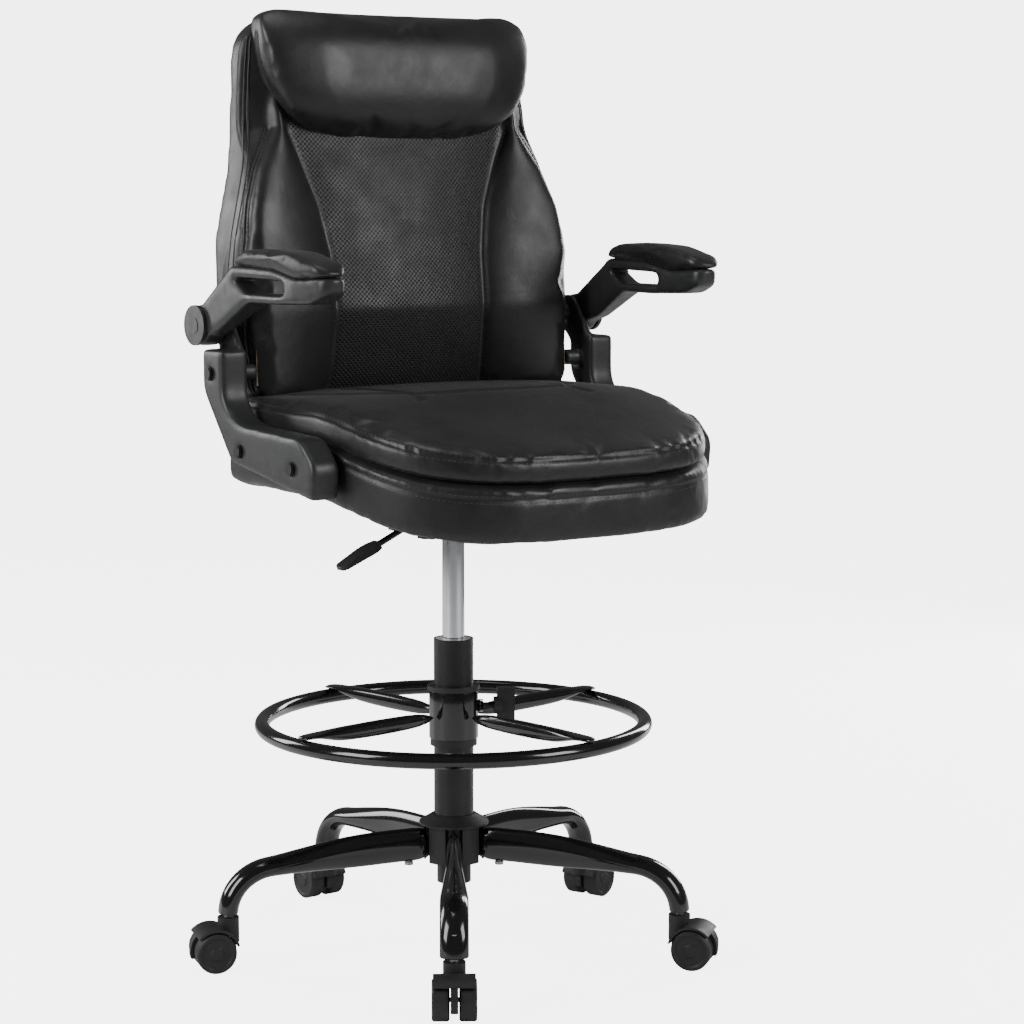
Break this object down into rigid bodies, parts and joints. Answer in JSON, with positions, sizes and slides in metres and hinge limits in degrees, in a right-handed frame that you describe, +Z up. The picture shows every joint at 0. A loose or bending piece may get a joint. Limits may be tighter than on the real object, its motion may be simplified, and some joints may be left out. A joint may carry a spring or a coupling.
{
  "type": "drafting chair",
  "caption": "Padded black leather drafting chair on a gas lift, with flip-up arms, a foot ring and a caster base.",
  "frame": {"origin": "on the floor, on the column's axis", "axes": "+Z up, the chair faces -Y, +X to the sitter's left"},
  "size_m": [0.6597, 0.643, 1.1775],
  "materials": {
    "gloss_black_steel": "gloss black paint",
    "satin_black_steel": "satin black paint",
    "chrome": "polished",
    "plated_steel": "zinc plated",
    "black_plastic": "fine moulded grain",
    "grey_plastic": "satin moulded",
    "pale_plastic": "smooth",
    "black_leather": "fine grain, soft sheen",
    "plywood": "raw"
  },
  "bodies": {
    "base": {"base_hub": "satin_black_steel", "hub_cover": "black_plastic", "base_leg_1": "gloss_black_steel", "base_leg_2": "gloss_black_steel", "base_leg_3": "gloss_black_steel", "base_leg_4": "gloss_black_steel", "base_leg_5": "gloss_black_steel", "leg_screws": "plated_steel", "column_tube": "satin_black_steel", "column_bush": "pale_plastic"},
    "swivel": {"piston_rod": "plated_steel", "rod_bearing": "plated_steel"},
    "lift": {"gas_cylinder": "chrome", "mech_housing": "satin_black_steel", "tilt_pin": "plated_steel", "tilt_spring": "plated_steel"},
    "valve": {"valve_button": "black_plastic"},
    "cradle": {"lever_cradle": "black_plastic"},
    "lever": {"lever_rod": "satin_black_steel", "lever_handle": "black_plastic"},
    "tension": {"tension_knob": "black_plastic"},
    "seat": {"seat_plate": "satin_black_steel", "seat_board": "plywood", "seat_base_cushion": "black_leather", "seat_top_cushion": "black_leather", "back_frame": "plywood", "back_cushion": "black_leather", "headrest_cushion": "black_leather", "arm_bracket_right": "grey_plastic", "arm_bracket_left": "grey_plastic", "frame_bolts": "satin_black_steel", "arm_pivots": "grey_plastic"},
    "arm_right": {"armrest_right": "grey_plastic", "arm_pad_right": "black_leather"},
    "arm_left": {"armrest_left": "grey_plastic", "arm_pad_left": "black_leather"},
    "ring_sleeve": {"ring_bush": "black_plastic"},
    "ring": {"foot_ring": "gloss_black_steel", "foot_ring_spider": "gloss_black_steel"},
    "ring_clamp": {"ring_knob": "black_plastic"},
    "caster_1": {"caster_hood_1": "black_plastic", "caster_pins_1": "plated_steel"},
    "roller_1a": {"wheel_1a": "black_plastic"},
    "roller_1b": {"wheel_1b": "black_plastic"},
    "caster_2": {"caster_hood_2": "black_plastic", "caster_pins_2": "plated_steel"},
    "roller_2a": {"wheel_2a": "black_plastic"},
    "roller_2b": {"wheel_2b": "black_plastic"},
    "caster_3": {"caster_hood_3": "black_plastic", "caster_pins_3": "plated_steel"},
    "roller_3a": {"wheel_3a": "black_plastic"},
    "roller_3b": {"wheel_3b": "black_plastic"},
    "caster_4": {"caster_hood_4": "black_plastic", "caster_pins_4": "plated_steel"},
    "roller_4a": {"wheel_4a": "black_plastic"},
    "roller_4b": {"wheel_4b": "black_plastic"},
    "caster_5": {"caster_hood_5": "black_plastic", "caster_pins_5": "plated_steel"},
    "roller_5a": {"wheel_5a": "black_plastic"},
    "roller_5b": {"wheel_5b": "black_plastic"}
  },
  "joints": [
    {"name": "seat_turn", "type": "hinge", "parent": "base", "child": "swivel", "pos_m": [0, 0, 0.3], "axis": [0, 0, 1], "continuous": true},
    {"name": "seat_lift", "type": "slide", "parent": "swivel", "child": "lift", "axis": [0, 0, 1], "range_m": [-0.11, 0.045]},
    {"name": "seat_tilt", "type": "hinge", "parent": "lift", "child": "seat", "pos_m": [0, -0.055, 0.562], "axis": [-1, 0, 0], "range_deg": [0, 12], "stiffness_Nm_per_rad": 150, "springref_deg": -17.19, "deforming": ["tilt_spring"]},
    {"name": "lever_lift", "type": "hinge", "parent": "lift", "child": "cradle", "pos_m": [-0.045, 0, 0.55], "axis": [0, 1, 0], "range_deg": [0, 6], "stiffness_Nm_per_rad": 1.5, "springref_deg": -11.46},
    {"name": "valve_press", "type": "slide", "parent": "lift", "child": "valve", "axis": [0, 0, -1], "range_m": [0, 0.0053]},
    {"name": "lever_pull", "type": "slide", "parent": "cradle", "child": "lever", "axis": [-1, 0, 0], "range_m": [0, 0.012]},
    {"name": "tension_turn", "type": "hinge", "parent": "lift", "child": "tension", "pos_m": [0, 0.052, 0.52], "axis": [0, 0, 1], "range_deg": [0, 360]},
    {"name": "arm_flip_right", "type": "hinge", "parent": "seat", "child": "arm_right", "pos_m": [-0.283, 0.112, 0.795], "axis": [-1, 0, 0], "range_deg": [0, 90]},
    {"name": "arm_flip_left", "type": "hinge", "parent": "seat", "child": "arm_left", "pos_m": [0.283, 0.112, 0.795], "axis": [-1, 0, 0], "range_deg": [0, 90]},
    {"name": "ring_slide", "type": "slide", "parent": "base", "child": "ring_sleeve", "axis": [0, 0, 1], "range_m": [-0.085, 0.045]},
    {"name": "ring_swing", "type": "hinge", "parent": "ring_sleeve", "child": "ring", "pos_m": [0, 0, 0.291], "axis": [0, 0, 1], "continuous": true},
    {"name": "ring_knob_turn", "type": "hinge", "parent": "ring", "child": "ring_clamp", "pos_m": [0.04308, -0.02538, 0.311], "axis": [0.8616, -0.5075, 0], "range_deg": [0, 360]},
    {"name": "caster_swivel_1", "type": "hinge", "parent": "base", "child": "caster_1", "pos_m": [-0.16652, -0.24229, 0.06], "axis": [0, 0, 1], "continuous": true},
    {"name": "wheel_roll_1a", "type": "hinge", "parent": "caster_1", "child": "roller_1a", "pos_m": [-0.17785, -0.25878, 0.025], "axis": [0.8241, -0.5664, 0], "continuous": true},
    {"name": "wheel_roll_1b", "type": "hinge", "parent": "caster_1", "child": "roller_1b", "pos_m": [-0.17785, -0.25878, 0.025], "axis": [0.8241, -0.5664, 0], "continuous": true},
    {"name": "caster_swivel_2", "type": "hinge", "parent": "base", "child": "caster_2", "pos_m": [0.17898, -0.23325, 0.06], "axis": [0, 0, 1], "continuous": true},
    {"name": "wheel_roll_2a", "type": "hinge", "parent": "caster_2", "child": "roller_2a", "pos_m": [0.19115, -0.24911, 0.025], "axis": [0.7934, 0.6088, 0], "continuous": true},
    {"name": "wheel_roll_2b", "type": "hinge", "parent": "caster_2", "child": "roller_2b", "pos_m": [0.19115, -0.24911, 0.025], "axis": [0.7934, 0.6088, 0], "continuous": true},
    {"name": "caster_swivel_3", "type": "hinge", "parent": "base", "child": "caster_3", "pos_m": [0.27714, 0.09814, 0.06], "axis": [0, 0, 1], "continuous": true},
    {"name": "wheel_roll_3a", "type": "hinge", "parent": "caster_3", "child": "roller_3a", "pos_m": [0.29599, 0.10482, 0.025], "axis": [-0.3338, 0.9426, 0], "continuous": true},
    {"name": "wheel_roll_3b", "type": "hinge", "parent": "caster_3", "child": "roller_3b", "pos_m": [0.29599, 0.10482, 0.025], "axis": [-0.3338, 0.9426, 0], "continuous": true},
    {"name": "caster_swivel_4", "type": "hinge", "parent": "base", "child": "caster_4", "pos_m": [-0.0077, 0.2939, 0.06], "axis": [0, 0, 1], "continuous": true},
    {"name": "wheel_roll_4a", "type": "hinge", "parent": "caster_4", "child": "roller_4a", "pos_m": [-0.00822, 0.31389, 0.025], "axis": [-0.9997, -0.0262, 0], "continuous": true},
    {"name": "wheel_roll_4b", "type": "hinge", "parent": "caster_4", "child": "roller_4b", "pos_m": [-0.00822, 0.31389, 0.025], "axis": [-0.9997, -0.0262, 0], "continuous": true},
    {"name": "caster_swivel_5", "type": "hinge", "parent": "base", "child": "caster_5", "pos_m": [-0.28189, 0.0835, 0.06], "axis": [0, 0, 1], "continuous": true},
    {"name": "wheel_roll_5a", "type": "hinge", "parent": "caster_5", "child": "roller_5a", "pos_m": [-0.30107, 0.08918, 0.025], "axis": [-0.284, -0.9588, 0], "continuous": true},
    {"name": "wheel_roll_5b", "type": "hinge", "parent": "caster_5", "child": "roller_5b", "pos_m": [-0.30107, 0.08918, 0.025], "axis": [-0.284, -0.9588, 0], "continuous": true}
  ],
  "couplings": [
    {"joint": "valve_press", "follows": "lever_lift", "m_per_rad": 0.05}
  ]
}
